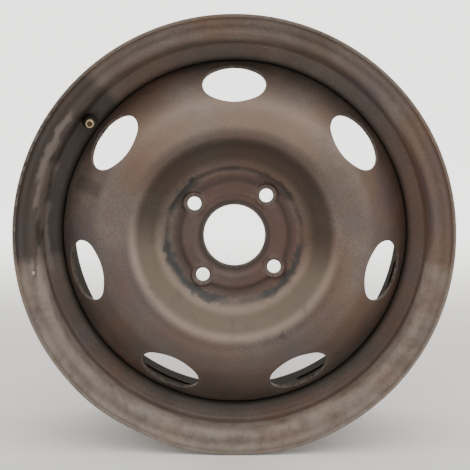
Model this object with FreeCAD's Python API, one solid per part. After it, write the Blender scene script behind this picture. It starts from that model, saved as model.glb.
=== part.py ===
"""Bare pressed-steel car wheel, 6J x 15, with its snap-in valve.

Millimetres. The wheel turns about Y. Its outboard face looks along -Y, +Z is up, and the origin
is the centre of the rim. Angles round the wheel run clockwise from the top, seen from outboard.
"""
import FreeCAD, Part
import math
import os

# ---- rim: one rolled strip -------------------------------------------------------------------
BEAD_SEAT_DIAMETER = 380.2
RIM_WIDTH_INSIDE = 152.4
RIM_SHEET = 2.8
FLANGE_HEIGHT = 17.3
FLANGE_BEND = 7.9
LIP_CURL_BEND = 8.1
LIP_REACH = 11.6
LIP_DROP = 0.8
SEAT_WIDTH = 20.6
SEAT_TAPER_DEG = 5.0
HUMP_HEIGHT = 1.6
HUMP_OFFSET = 4.0
HUMP_BEND = 6.0
LEDGE_DROP = 0.6
OUTBOARD_LEDGE_LENGTH = 7.8
INBOARD_LEDGE_LENGTH = 9.1
WELL_INSIDE_RADIUS = 170.0
WELL_INBOARD_Y = 30.0
WELL_WALL_TILT_DEG = 12.0
WELL_BEND = 6.0
WELL_RAMP_BEND = 9.0

# ---- wheel disc: one pressed sheet -----------------------------------------------------------
DISC_SHEET = 3.5
WHEEL_OFFSET = 38.0
HUB_BORE_RADIUS = 30.05
PAD_RING_RADIUS = 38.0
RIDGE_INNER_RADIUS = 42.5
RIDGE_OUTER_RADIUS = 49.5
RIDGE_HEIGHT = 3.0
VALLEY_RADIUS = 54.5
PAD_CORNER_RADIUS = 65.0
CROWN_INSET = 65.2
CROWN_HEIGHT = 37.2
SHOULDER_INSET = 41.2
SHOULDER_DROP = 2.4
SLOPE_INSET = 18.2
SLOPE_DROP = 20.5
SKIRT_BEND_DROP = 41.0
SKIRT_LENGTH = 22.0
SKIRT_FIT = 0.05

# ---- where the disc's sheet is divided into simpler pieces, from its nearest corner or edge -----
PAD_DIVIDE_OUTSIDE_CORNER = 1.0
BOWL_DIVIDE_INSIDE_CROWN = 8.0
CROWN_DIVIDE_INSIDE_VENTS = 5.5
SKIRT_DIVIDE_BEFORE_BEND = 4.0

# ---- bolt holes with coned seats -------------------------------------------------------------
BOLT_COUNT = 4
BOLT_CIRCLE_DIAMETER = 100.0
BOLT_HOLE_RADIUS = 6.6
BOLT_SEAT_RADIUS = 8.8
BOLT_SEAT_HALF_ANGLE_DEG = 30.0
BOSS_BASE_RADIUS = 13.0
BOSS_TOP_RADIUS = 10.6
BOSS_HEIGHT = 3.2
BOSS_ROOT = 1.3
BOSS_DISH_RADIUS = 10.5
BOSS_DISH_DEPTH = 1.6

# ---- vents -----------------------------------------------------------------------------------
VENT_COUNT = 7
VENT_INSET = 20.6
VENT_LENGTH = 60.0
VENT_SLANT_WIDTH = 46.0
VENT_END_RADIUS = 20.0
VENT_PUNCH_TILT_DEG = 42.0
VENT_PUNCH_STROKE = 13.0

# ---- weld beads between disc skirt and rim well ----------------------------------------------
WELD_COUNT = 4
WELD_ARC_DEG = 58.0
WELD_LEG = 3.2
WELD_CROWN = 0.5

# ---- snap-in valve, lengths along its axis from the rim sheet --------------------------------
VALVE_ANGLE_DEG = -360.0 / VENT_COUNT
VALVE_HOLE_RADIUS = 5.75
VALVE_HEAD_OVERHANG = 2.15
VALVE_HEAD_LENGTH = 6.4
VALVE_BULGE_OVERHANG = 1.65
VALVE_BULGE_LENGTH = 5.0
VALVE_RUBBER_LENGTH = 16.5
VALVE_RUBBER_TIP_WALL = 1.45
VALVE_STEM_RADIUS = 3.85
VALVE_SHANK_INSET = 0.35
VALVE_STEM_LENGTH = 27.0
VALVE_STEM_CHAMFER = 0.5
VALVE_FIT = 0.05

# ---- valve core, lengths along its axis back from the stem's mouth ---------------------------
CORE_CHAMBER_RADIUS = 2.6
CORE_CHAMBER_DEPTH = 11.0
CORE_SEAT_DEPTH = 1.6
AIR_PASSAGE_RADIUS = 1.95
PLUG_RECESS = 1.2
PLUG_LENGTH = 4.0
PLUG_HOLE_RADIUS = 0.95
PLUG_SLOT_WIDTH = 1.2
PLUG_SLOT_DEPTH = 1.5
BARREL_RADIUS = 1.75
BARREL_BORE_RADIUS = 1.25
BARREL_LENGTH = 8.0
BARREL_FLOOR = 0.8
GASKET_LENGTH = 1.8
PIN_RADIUS = 0.5
PIN_HEAD_RADIUS = 0.85
PIN_HEAD_LENGTH = 2.0
PIN_RECESS = 0.3
PIN_COLLAR_RADIUS = 1.15
PIN_COLLAR_LENGTH = 0.6
PIN_COLLAR_DEPTH = 6.2
CUP_RADIUS = 1.5
CUP_LENGTH = 1.4
SLIDING_GAP = 0.05
SPRING_WIRE_RADIUS = 0.14
SPRING_RADIUS = 0.82
SPRING_TURNS = 6

# ---- worked out from the sizes above ---------------------------------------------------------
SEAT_RADIUS = BEAD_SEAT_DIAMETER / 2 - RIM_SHEET / 2
FLANGE_Y = RIM_WIDTH_INSIDE / 2 + RIM_SHEET / 2
FLANGE_TOP_RADIUS = BEAD_SEAT_DIAMETER / 2 + FLANGE_HEIGHT - RIM_SHEET / 2
HUMP_Y = FLANGE_Y - SEAT_WIDTH - HUMP_OFFSET
WELL_RADIUS = WELL_INSIDE_RADIUS + RIM_SHEET / 2
PAD_Y = -WHEEL_OFFSET - DISC_SHEET / 2
PAD_FACE_Y = -WHEEL_OFFSET - DISC_SHEET
SKIRT_RADIUS = WELL_INSIDE_RADIUS - SKIRT_FIT - DISC_SHEET / 2
CROWN_RADIUS = SKIRT_RADIUS - CROWN_INSET
SHOULDER_RADIUS = SKIRT_RADIUS - SHOULDER_INSET
SLOPE_RADIUS = SKIRT_RADIUS - SLOPE_INSET
VENT_CENTRE_RADIUS = SKIRT_RADIUS - VENT_INSET
BOLT_CIRCLE_RADIUS = BOLT_CIRCLE_DIAMETER / 2
FIRST_BOLT_ANGLE_DEG = VALVE_ANGLE_DEG + 90.0
CROWN_Y = PAD_Y - CROWN_HEIGHT
SKIRT_BEND_Y = CROWN_Y + SKIRT_BEND_DROP
SKIRT_END_Y = SKIRT_BEND_Y + SKIRT_LENGTH
AXIS = FreeCAD.Vector(0, 1, 0)
CENTRE = FreeCAD.Vector(0, 0, 0)


def round_the_wheel(shape, angle_deg):
    """A copy of the shape, turned round the wheel from the top."""
    turned = shape.copy()
    turned.rotate(CENTRE, AXIS, angle_deg)
    return turned


def sheet_side(line, offset):
    """Edges of one face of a bent sheet, at an offset from its middle line of (y, radius, bend)."""
    points = [FreeCAD.Vector(radius, y, 0) for y, radius, bend in line]
    runs = [(end - start).normalize() for start, end in zip(points, points[1:])]
    sides = [FreeCAD.Vector(-run.y, run.x, 0) for run in runs]
    corners = [(points[0] + sides[0] * offset,)]
    for i in range(1, len(points) - 1):
        before, after = runs[i - 1], runs[i]
        mitre = (sides[i - 1] + sides[i]) * (offset / (1 + sides[i - 1].dot(sides[i])))
        corner = points[i] + mitre
        turn = before.getAngle(after)
        if line[i][2] == 0 or turn < 1e-6:
            corners.append((corner,))
            continue
        hand = 1 if before.cross(after).z > 0 else -1
        bend = line[i][2] - hand * offset
        back = bend * math.tan(turn / 2)
        sag = bend / math.cos(turn / 2) - bend
        inward = (after - before).normalize()
        corners.append((corner - before * back, corner + inward * sag, corner + after * back))
    corners.append((points[-1] + sides[-1] * offset,))
    edges = []
    for i, corner in enumerate(corners):
        if len(corner) == 3:
            edges.append(Part.Arc(*corner).toShape())
        if i + 1 < len(corners):
            edges.append(Part.LineSegment(corner[-1], corners[i + 1][0]).toShape())
    return edges


def sheet_of_revolution(line, thickness):
    """A bent sheet of even thickness, turned about the wheel's axis."""
    one = sheet_side(line, thickness / 2)
    other = sheet_side(line, -thickness / 2)
    ends = []
    for a, b in ((one[0].firstVertex(), other[0].firstVertex()),
                 (one[-1].lastVertex(), other[-1].lastVertex())):
        ends.append(Part.LineSegment(a.Point, b.Point).toShape())
    outline = Part.Wire(Part.__sortEdges__(one + other + ends))
    return Part.Face(outline).revolve(CENTRE, AXIS, 360)


def turned_piece(outline, start_y=0.0):
    """A solid turned about Y from (length, radius) points; lengths run outboard from start_y."""
    points = [FreeCAD.Vector(radius, start_y - length, 0) for length, radius in outline]
    face = Part.Face(Part.makePolygon(points + points[:1]))
    return face.revolve(CENTRE, AXIS, 360)


def seat_radius_at(width):
    """Middle-line radius of the tapered bead seat, this far in from the flange."""
    return SEAT_RADIUS - width * math.tan(math.radians(SEAT_TAPER_DEG))


def rim_edge(side):
    """The middle line of one edge of the rim, from the curled lip to the hump; side is -1 or 1."""
    return [
        (side * (FLANGE_Y + LIP_REACH), FLANGE_TOP_RADIUS - LIP_DROP, 0),
        (side * FLANGE_Y, FLANGE_TOP_RADIUS, LIP_CURL_BEND),
        (side * FLANGE_Y, SEAT_RADIUS, FLANGE_BEND),
        (side * (FLANGE_Y - SEAT_WIDTH), seat_radius_at(SEAT_WIDTH), HUMP_BEND),
        (side * HUMP_Y, seat_radius_at(SEAT_WIDTH) + HUMP_HEIGHT, HUMP_BEND),
    ]


def well_wall():
    """The outboard wall of the well, as (y, radius) at its top and at its foot."""
    top_radius = seat_radius_at(SEAT_WIDTH) - LEDGE_DROP
    top_y = OUTBOARD_LEDGE_LENGTH - HUMP_Y
    foot_y = top_y + (top_radius - WELL_RADIUS) * math.tan(math.radians(WELL_WALL_TILT_DEG))
    return (top_y, top_radius), (foot_y, WELL_RADIUS)


def valve_wall_point():
    """The valve hole's place at the middle of the well wall, at the top of the wheel."""
    top, foot = well_wall()
    return (top[0] + foot[0]) / 2, (top[1] + foot[1]) / 2


def at_the_valve(shape):
    """Moves a piece turned about Y at the origin to the valve's place and tilt."""
    y, radius = valve_wall_point()
    placed = shape.copy()
    placed.rotate(CENTRE, FreeCAD.Vector(1, 0, 0), WELL_WALL_TILT_DEG)
    placed.translate(FreeCAD.Vector(0, y, radius))
    return round_the_wheel(placed, VALVE_ANGLE_DEG)


def make_rim():
    """Rolled rim: curled lips, tapered bead seats, humps and a drop-centre well."""
    top, foot = well_wall()
    line = rim_edge(-1)
    line += [
        (*top, WELL_BEND),
        (*foot, WELL_BEND),
        (WELL_INBOARD_Y, WELL_RADIUS, WELL_RAMP_BEND),
        (HUMP_Y - INBOARD_LEDGE_LENGTH, top[1], HUMP_BEND),
    ]
    line += reversed(rim_edge(1))
    rim = sheet_of_revolution(line, RIM_SHEET)
    hole = Part.makeCylinder(VALVE_HOLE_RADIUS, 4 * RIM_SHEET, FreeCAD.Vector(0, -2 * RIM_SHEET, 0), AXIS)
    return rim.cut(at_the_valve(hole))


def bolt_boss():
    """The raised metal round one bolt hole, before its hole and seat are made."""
    return turned_piece([
        (DISC_SHEET - BOSS_ROOT, 0),
        (DISC_SHEET - BOSS_ROOT, BOSS_BASE_RADIUS),
        (DISC_SHEET + BOSS_HEIGHT, BOSS_TOP_RADIUS),
        (DISC_SHEET + BOSS_HEIGHT, 0),
    ], -WHEEL_OFFSET)


def bolt_hole():
    """What is taken away at one bolt hole: the hole, its coned seat and the dish behind it."""
    top = DISC_SHEET + BOSS_HEIGHT
    seat = (BOLT_SEAT_RADIUS - BOLT_HOLE_RADIUS) / math.tan(math.radians(BOLT_SEAT_HALF_ANGLE_DEG))
    return turned_piece([
        (-1, 0),
        (-1, BOSS_DISH_RADIUS + 0.6),
        (BOSS_DISH_DEPTH, BOLT_HOLE_RADIUS + 1.6),
        (BOSS_DISH_DEPTH, BOLT_HOLE_RADIUS),
        (top - seat, BOLT_HOLE_RADIUS),
        (top, BOLT_SEAT_RADIUS),
        (top + 2, BOLT_SEAT_RADIUS),
        (top + 2, 0),
    ], -WHEEL_OFFSET)


def vent_punch():
    """The oval punch of one vent at the top of the wheel, square to the disc's slope."""
    a = VENT_LENGTH / 2
    b = VENT_SLANT_WIDTH / 2
    r = VENT_END_RADIUS
    side_radius = ((a - r) ** 2 + b ** 2 - r ** 2) / (2 * (b - r))
    meet = math.atan2(side_radius - b, a - r)
    x = a - r + r * math.cos(meet)
    z = r * math.sin(meet)
    corners = [FreeCAD.Vector(px, 0, pz) for px, pz in ((x, z), (-x, z), (-x, -z), (x, -z))]
    middles = [FreeCAD.Vector(px, 0, pz) for px, pz in ((0, b), (-a, 0), (0, -b), (a, 0))]
    edges = [Part.Arc(corners[i], middles[i], corners[(i + 1) % 4]).toShape() for i in range(4)]
    punch = Part.Face(Part.Wire(edges)).extrude(FreeCAD.Vector(0, -2 * VENT_PUNCH_STROKE, 0))
    punch.translate(FreeCAD.Vector(0, VENT_PUNCH_STROKE, 0))
    punch.rotate(CENTRE, FreeCAD.Vector(1, 0, 0), -VENT_PUNCH_TILT_DEG)
    across = VENT_CENTRE_RADIUS - SLOPE_RADIUS
    y = CROWN_Y + SLOPE_DROP - DISC_SHEET / 2 + across * math.tan(math.radians(VENT_PUNCH_TILT_DEG))
    punch.translate(FreeCAD.Vector(0, y, VENT_CENTRE_RADIUS))
    return punch


def make_wheel_disc():
    """Pressed disc in one sheet: hub pad with its ridge, bowl, crown, vented slope and skirt."""
    disc = sheet_of_revolution([
        (PAD_Y, HUB_BORE_RADIUS, 0),
        (PAD_Y, PAD_RING_RADIUS, 4.0),
        (PAD_Y - RIDGE_HEIGHT, RIDGE_INNER_RADIUS, 4.0),
        (PAD_Y - RIDGE_HEIGHT, RIDGE_OUTER_RADIUS, 4.0),
        (PAD_Y, VALLEY_RADIUS, 4.0),
        (PAD_Y, PAD_CORNER_RADIUS, 6.0),
        (CROWN_Y, CROWN_RADIUS, 13.0),
        (CROWN_Y + SHOULDER_DROP, SHOULDER_RADIUS, 32.0),
        (CROWN_Y + SLOPE_DROP, SLOPE_RADIUS, 60.0),
        (SKIRT_BEND_Y, SKIRT_RADIUS, 8.0),
        (SKIRT_END_Y, SKIRT_RADIUS, 0),
    ], DISC_SHEET)
    bolt_angles = [FIRST_BOLT_ANGLE_DEG + i * 360.0 / BOLT_COUNT for i in range(BOLT_COUNT)]
    to_circle = FreeCAD.Vector(0, 0, BOLT_CIRCLE_RADIUS)
    boss = bolt_boss().translated(to_circle)
    hole = bolt_hole().translated(to_circle)
    disc = disc.fuse([round_the_wheel(boss, angle) for angle in bolt_angles])
    cuts = [round_the_wheel(hole, angle) for angle in bolt_angles]
    cuts += [round_the_wheel(vent_punch(), i * 360.0 / VENT_COUNT) for i in range(VENT_COUNT)]
    return disc.cut(cuts).removeSplitter()


def disc_zone(inner, outer, low_y, high_y, angle_deg=360.0):
    """The space between two radii and two places along the axis, over an angle from the top."""
    low = FreeCAD.Vector(0, low_y, inner)
    high = FreeCAD.Vector(0, high_y, outer)
    corners = [low, FreeCAD.Vector(0, low_y, outer), high, FreeCAD.Vector(0, high_y, inner), low]
    return Part.Face(Part.makePolygon(corners)).revolve(CENTRE, AXIS, angle_deg)


def divide_wheel_disc(disc):
    """The disc's sheet as simpler pieces that touch edge to edge, by name."""
    front = CROWN_Y - DISC_SHEET * 2
    back = SKIRT_END_Y + DISC_SHEET
    outside = SKIRT_RADIUS + DISC_SHEET
    pad_edge = PAD_CORNER_RADIUS + PAD_DIVIDE_OUTSIDE_CORNER
    bowl_edge = CROWN_RADIUS - BOWL_DIVIDE_INSIDE_CROWN
    vent_reach = VENT_SLANT_WIDTH / 2 * math.cos(math.radians(VENT_PUNCH_TILT_DEG))
    crown_edge = VENT_CENTRE_RADIUS - vent_reach - CROWN_DIVIDE_INSIDE_VENTS
    skirt_y = SKIRT_BEND_Y - SKIRT_DIVIDE_BEFORE_BEND
    between_vents = 360.0 / VENT_COUNT
    zones = {
        "hub_pad": disc_zone(HUB_BORE_RADIUS / 2, pad_edge, front, back),
        "disc_bowl": disc_zone(pad_edge, bowl_edge, front, back),
        "disc_crown": disc_zone(bowl_edge, crown_edge, front, back),
        "disc_skirt": disc_zone(crown_edge, outside, skirt_y, back),
    }
    bridge = disc_zone(crown_edge, outside, front, skirt_y, between_vents)
    for i in range(VENT_COUNT):
        zones["disc_bridge_%d" % (i + 1)] = round_the_wheel(bridge, i * between_vents)
    return {name: disc.common(zone) for name, zone in zones.items()}


def make_weld_beads():
    """Fillet welds that join the end of the disc's skirt to the rim well."""
    outer = WELL_INSIDE_RADIUS - SKIRT_FIT
    root = FreeCAD.Vector(outer, SKIRT_END_Y, 0)
    on_skirt = FreeCAD.Vector(outer - WELD_LEG, SKIRT_END_Y, 0)
    on_rim = FreeCAD.Vector(outer, SKIRT_END_Y + WELD_LEG, 0)
    outward = FreeCAD.Vector(-1, 1, 0).normalize()
    crown = (on_skirt + on_rim) * 0.5 + outward * WELD_CROWN
    edges = [
        Part.LineSegment(on_rim, root).toShape(),
        Part.LineSegment(root, on_skirt).toShape(),
        Part.Arc(on_skirt, crown, on_rim).toShape(),
    ]
    bead = Part.Face(Part.Wire(edges)).revolve(CENTRE, AXIS, WELD_ARC_DEG)
    first = FIRST_BOLT_ANGLE_DEG - 90.0 - WELD_ARC_DEG / 2
    angles = [first + i * 360.0 / WELD_COUNT for i in range(WELD_COUNT)]
    return Part.makeCompound([round_the_wheel(bead, angle) for angle in angles])


def make_valve_rubber(rim):
    """The rubber body, pulled into its hole, so that it gives way to the sheet round it."""
    half = RIM_SHEET / 2
    neck = VALVE_HOLE_RADIUS - VALVE_FIT
    head = VALVE_HOLE_RADIUS + VALVE_HEAD_OVERHANG
    bulge = VALVE_HOLE_RADIUS + VALVE_BULGE_OVERHANG
    bore = VALVE_STEM_RADIUS - VALVE_SHANK_INSET
    tip = VALVE_STEM_RADIUS + VALVE_RUBBER_TIP_WALL
    body = turned_piece([
        (-half - VALVE_HEAD_LENGTH, bore),
        (-half - VALVE_HEAD_LENGTH, head - 2.0),
        (-half - VALVE_HEAD_LENGTH + 2.0, head),
        (-half - 0.15, head),
        (-half - 0.15, neck),
        (half + 0.15, neck),
        (half + 0.15, bulge - 0.8),
        (half + 1.2, bulge),
        (half + VALVE_BULGE_LENGTH, bulge - 0.3),
        (half + VALVE_BULGE_LENGTH + 3.0, tip + 0.7),
        (half + VALVE_RUBBER_LENGTH - 0.6, tip),
        (half + VALVE_RUBBER_LENGTH, tip - 0.6),
        (half + VALVE_RUBBER_LENGTH, bore),
    ])
    squeezed = at_the_valve(body).cut(rim)
    return max(squeezed.Solids, key=lambda solid: solid.Volume)


def make_valve_stem():
    """The brass stem: shank in the rubber, thread for a cap, core chamber and coned core seat."""
    back = -RIM_SHEET / 2 - VALVE_HEAD_LENGTH
    tip = VALVE_STEM_LENGTH
    seat_top = tip - CORE_CHAMBER_DEPTH
    seat_bottom = seat_top - CORE_SEAT_DEPTH
    shank = VALVE_STEM_RADIUS - VALVE_SHANK_INSET
    shank_end = RIM_SHEET / 2 + VALVE_RUBBER_LENGTH
    return at_the_valve(turned_piece([
        (back, AIR_PASSAGE_RADIUS),
        (back, shank),
        (shank_end, shank),
        (shank_end, VALVE_STEM_RADIUS),
        (tip - VALVE_STEM_CHAMFER, VALVE_STEM_RADIUS),
        (tip, VALVE_STEM_RADIUS - VALVE_STEM_CHAMFER),
        (tip, CORE_CHAMBER_RADIUS + 0.2),
        (tip - 0.4, CORE_CHAMBER_RADIUS),
        (seat_top, CORE_CHAMBER_RADIUS),
        (seat_bottom, AIR_PASSAGE_RADIUS),
    ]))


def make_core_plug():
    """The threaded plug of the core, slotted across its outer end for the key."""
    top = VALVE_STEM_LENGTH - PLUG_RECESS
    outer = CORE_CHAMBER_RADIUS - VALVE_FIT
    plug = turned_piece([
        (top - PLUG_LENGTH, PLUG_HOLE_RADIUS),
        (top - PLUG_LENGTH, outer),
        (top, outer),
        (top, PLUG_HOLE_RADIUS),
    ])
    corner = FreeCAD.Vector(-outer - 1, -top - 1, -PLUG_SLOT_WIDTH / 2)
    slot = Part.makeBox(2 * outer + 2, PLUG_SLOT_DEPTH + 1, PLUG_SLOT_WIDTH, corner)
    return at_the_valve(plug.cut(slot))


def make_core_barrel():
    """The barrel below the plug, which holds the spring on its floor."""
    top = VALVE_STEM_LENGTH - PLUG_RECESS - PLUG_LENGTH
    bottom = top - BARREL_LENGTH
    return at_the_valve(turned_piece([
        (bottom, PIN_RADIUS + 2 * SLIDING_GAP),
        (bottom, BARREL_RADIUS),
        (top, BARREL_RADIUS),
        (top, BARREL_BORE_RADIUS),
        (bottom + BARREL_FLOOR, BARREL_BORE_RADIUS),
        (bottom + BARREL_FLOOR, PIN_RADIUS + 2 * SLIDING_GAP),
    ]))


def make_core_gasket():
    """The coned gasket round the barrel, which seals on the stem's seat."""
    low = VALVE_STEM_LENGTH - CORE_CHAMBER_DEPTH - CORE_SEAT_DEPTH + VALVE_FIT
    slope = (CORE_CHAMBER_RADIUS - AIR_PASSAGE_RADIUS) / CORE_SEAT_DEPTH
    inner = BARREL_RADIUS + VALVE_FIT / 2
    seat_end = CORE_SEAT_DEPTH
    return at_the_valve(turned_piece([
        (low + 0.2, inner),
        (low + 0.2, AIR_PASSAGE_RADIUS + 0.2 * slope - VALVE_FIT),
        (low + seat_end, AIR_PASSAGE_RADIUS + seat_end * slope - VALVE_FIT),
        (low + GASKET_LENGTH, CORE_CHAMBER_RADIUS - 2 * VALVE_FIT),
        (low + GASKET_LENGTH, inner),
    ]))


def cup_top():
    """Where the sealing cup lies closed under the barrel, along the valve's axis."""
    return VALVE_STEM_LENGTH - PLUG_RECESS - PLUG_LENGTH - BARREL_LENGTH - SLIDING_GAP


def make_core_pin():
    """The pin: a head in the plug, a collar that the spring pushes and a shank to the cup."""
    top = VALVE_STEM_LENGTH - PIN_RECESS
    collar = VALVE_STEM_LENGTH - PIN_COLLAR_DEPTH
    foot = cup_top() - CUP_LENGTH
    return at_the_valve(turned_piece([
        (foot, 0),
        (foot, PIN_RADIUS),
        (collar - PIN_COLLAR_LENGTH, PIN_RADIUS),
        (collar - PIN_COLLAR_LENGTH, PIN_COLLAR_RADIUS),
        (collar, PIN_COLLAR_RADIUS),
        (collar, PIN_RADIUS),
        (top - PIN_HEAD_LENGTH, PIN_RADIUS),
        (top - PIN_HEAD_LENGTH, PIN_HEAD_RADIUS),
        (top, PIN_HEAD_RADIUS),
        (top, 0),
    ]))


def make_core_cup():
    """The sealing cup on the pin's foot."""
    top = cup_top()
    return at_the_valve(turned_piece([
        (top - CUP_LENGTH, PIN_RADIUS),
        (top - CUP_LENGTH, CUP_RADIUS - 0.4),
        (top - CUP_LENGTH + 0.4, CUP_RADIUS),
        (top, CUP_RADIUS),
        (top, PIN_RADIUS),
    ]))


def make_core_spring():
    """The closed-length spring between the pin's collar and the barrel's floor."""
    high = VALVE_STEM_LENGTH - PIN_COLLAR_DEPTH - PIN_COLLAR_LENGTH - SLIDING_GAP - SPRING_WIRE_RADIUS
    low = VALVE_STEM_LENGTH - PLUG_RECESS - PLUG_LENGTH - BARREL_LENGTH + BARREL_FLOOR
    low += SLIDING_GAP + SPRING_WIRE_RADIUS
    pitch = (high - low) / SPRING_TURNS
    path = Part.makeHelix(pitch, high - low, SPRING_RADIUS)
    start = FreeCAD.Vector(SPRING_RADIUS, 0, 0)
    section = Part.Wire(Part.makeCircle(SPRING_WIRE_RADIUS, start, AXIS))
    coil = Part.Wire(path).makePipeShell([section], True, True)
    coil.rotate(CENTRE, FreeCAD.Vector(1, 0, 0), 90)
    coil.translate(FreeCAD.Vector(0, -low, 0))
    return at_the_valve(coil)


def main():
    rim = make_rim()
    pieces = {
        "rim": rim,
        **divide_wheel_disc(make_wheel_disc()),
        "disc_weld_beads": make_weld_beads(),
        "valve_rubber": make_valve_rubber(rim),
        "valve_stem": make_valve_stem(),
        "valve_core_plug": make_core_plug(),
        "valve_core_barrel": make_core_barrel(),
        "valve_core_gasket": make_core_gasket(),
        "valve_core_pin": make_core_pin(),
        "valve_core_cup": make_core_cup(),
        "valve_core_spring": make_core_spring(),
    }
    os.makedirs("parts", exist_ok=True)
    for name, shape in pieces.items():
        shape.exportStep("parts/" + name + ".step")
        solids = shape.Solids
        print(name, len(solids), "solid(s), volume", round(sum(s.Volume for s in solids), 2), shape.isValid())


main()
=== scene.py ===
import math

import bmesh
import bpy
import numpy as np
from bpy.props import FloatProperty, FloatVectorProperty, IntProperty, PointerProperty
from bpy.types import Operator, Panel, PropertyGroup
from mathutils import Matrix, Vector


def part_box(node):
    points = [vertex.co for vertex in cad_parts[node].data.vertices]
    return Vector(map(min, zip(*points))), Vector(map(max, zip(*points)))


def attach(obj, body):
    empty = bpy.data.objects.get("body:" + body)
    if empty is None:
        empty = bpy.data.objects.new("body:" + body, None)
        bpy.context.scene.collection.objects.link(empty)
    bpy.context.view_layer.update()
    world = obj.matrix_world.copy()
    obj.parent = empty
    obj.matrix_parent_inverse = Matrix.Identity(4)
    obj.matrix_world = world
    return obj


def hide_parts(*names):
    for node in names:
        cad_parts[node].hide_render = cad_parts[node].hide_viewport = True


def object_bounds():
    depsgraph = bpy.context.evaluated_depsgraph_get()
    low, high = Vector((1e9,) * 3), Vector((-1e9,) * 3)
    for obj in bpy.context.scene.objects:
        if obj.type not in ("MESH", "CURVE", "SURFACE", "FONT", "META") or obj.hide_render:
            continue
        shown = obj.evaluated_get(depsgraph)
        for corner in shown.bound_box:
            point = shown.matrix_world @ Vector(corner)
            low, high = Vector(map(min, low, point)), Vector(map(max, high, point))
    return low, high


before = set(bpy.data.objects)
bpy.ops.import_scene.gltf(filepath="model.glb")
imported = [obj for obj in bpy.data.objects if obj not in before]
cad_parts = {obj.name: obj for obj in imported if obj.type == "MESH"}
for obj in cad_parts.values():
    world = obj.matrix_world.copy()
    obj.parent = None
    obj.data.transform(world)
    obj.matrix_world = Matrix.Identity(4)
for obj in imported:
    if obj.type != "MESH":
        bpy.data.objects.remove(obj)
CAD_BOX = [list(corner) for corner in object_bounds()]
RIM_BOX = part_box("rim")

bl_info = {
    "name": "Steel Car Wheel",
    "version": (1, 0, 0),
    "blender": (4, 5, 0),
    "location": "View3D > Sidebar > Steel Wheel",
    "description": "Builds the sheet metal, the valve, the finishes and the stage of a used steel car wheel",
    "category": "Mesh",
}

# The wheel turns about Y, its outboard face looks along -Y, and +Z is up. Angles round the wheel
# run clockwise from the top, seen from outboard. Lengths are in metres.
MM = 0.001
VENT_COUNT = 7
BOLT_COUNT = 4
VALVE_ANGLE = -2 * math.pi / VENT_COUNT
FIRST_BOLT_ANGLE = VALVE_ANGLE + math.pi / 2
# Columns of points round each pressing. The disc's share out evenly over its vents and its bolts.
DISC_COLUMNS = 336
RIM_COLUMNS = 360
# Radii between which the disc's hub pad and its band of vents are built, and their rows of points.
PAD_PATCH = (36.5 * MM, 62.55 * MM)
PAD_ROWS = 20
VENT_PATCH = (122 * MM, 166.1 * MM)
VENT_ROWS = 22
# Steps along the disc's plain bowl, and along its plain ends.
BOWL_STEP = 2.8 * MM
END_STEP = 1.6 * MM
# Directions of the points round each of the two corners of a sheared end.
QUARTER_TURN = np.radians([0, 22.5, 45, 67.5, 90])
END_POINTS = 2 * len(QUARTER_TURN)
WEAR = "edge_wear"
# Bearing in degrees, share of the dent's depth and spread in degrees of each dent in the lip.
DENTS = ((207, -1.0, 6), (160, 0.6, 9), (222, 0.4, 6))
# The slope's outer corner lies this far behind the crown and this far inside the skirt.
SLOPE_DEPTH = 20.5 * MM
SLOPE_INSET = 18.2 * MM
# Rings of points from a boss's foot to its bolt hole, in millimetres from the hole's axis.
SEAT_RINGS = (12.4, 12.0, 11.6, 11.2, 10.8, 10.4, 9.9, 9.4, 9.0, 8.8, 8.4, 7.8, 7.2, 6.75, 6.6)
DISH_RINGS = (12.4, 11.4, 10.6, 9.8, 9.0, 8.2, 7.2, 6.9, 6.6)
# Half the angle that one weld takes up, in degrees, and the distance between its ripples.
WELD_REACH = 29
WELD_RIPPLE = 2.4 * MM
# The shank is this much thinner than the thread, and the thread is cut this deep.
SHANK_INSET = 0.35 * MM
THREAD_DEPTH = 0.42 * MM
VALVE_COLUMNS = 96
# The sweep of paper: its near edge, the start and radius of its bend, its top and half its width.
SWEEP_NEAR = -2.5
SWEEP_FOOT = 0.2
SWEEP_RADIUS = 1.4
SWEEP_TOP = 3.0
SWEEP_HALF_WIDTH = 3
# Place, width, depth and power setting of each soft light.
LIGHTS = {
    "overhead_light": ((0.15, -0.85, 1.6), 3.0, 1.7, "key_power"),
    "left_bank": ((-1.5, -0.9, 0.8), 1.3, 1.3, "left_power"),
    "right_bank": ((1.5, -0.9, 0.7), 1.3, 1.3, "right_power"),
}


def linear(hex_colour):
    """An sRGB hex colour as the linear red, green, blue and alpha that shaders take."""
    channels = [int(hex_colour[i:i + 2], 16) / 255 for i in (1, 3, 5)]
    return [c / 12.92 if c <= 0.04045 else ((c + 0.055) / 1.055) ** 2.4 for c in channels] + [1.0]


def length(name, description, millimetres):
    """A length property of the sidebar, with its default in millimetres."""
    return FloatProperty(
        name=name, description=description, default=millimetres * MM, min=0.0, unit="LENGTH", precision=5)


def angle(name, description, degrees):
    """An angle property of the sidebar, with its default in degrees."""
    return FloatProperty(
        name=name, description=description, default=math.radians(degrees), subtype="ANGLE")


def colour(name, description, hex_colour):
    """A colour property of the sidebar, with its default in sRGB hex."""
    return FloatVectorProperty(
        name=name, description=description, default=linear(hex_colour), size=4,
        min=0.0, max=1.0, subtype="COLOR")


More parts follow.
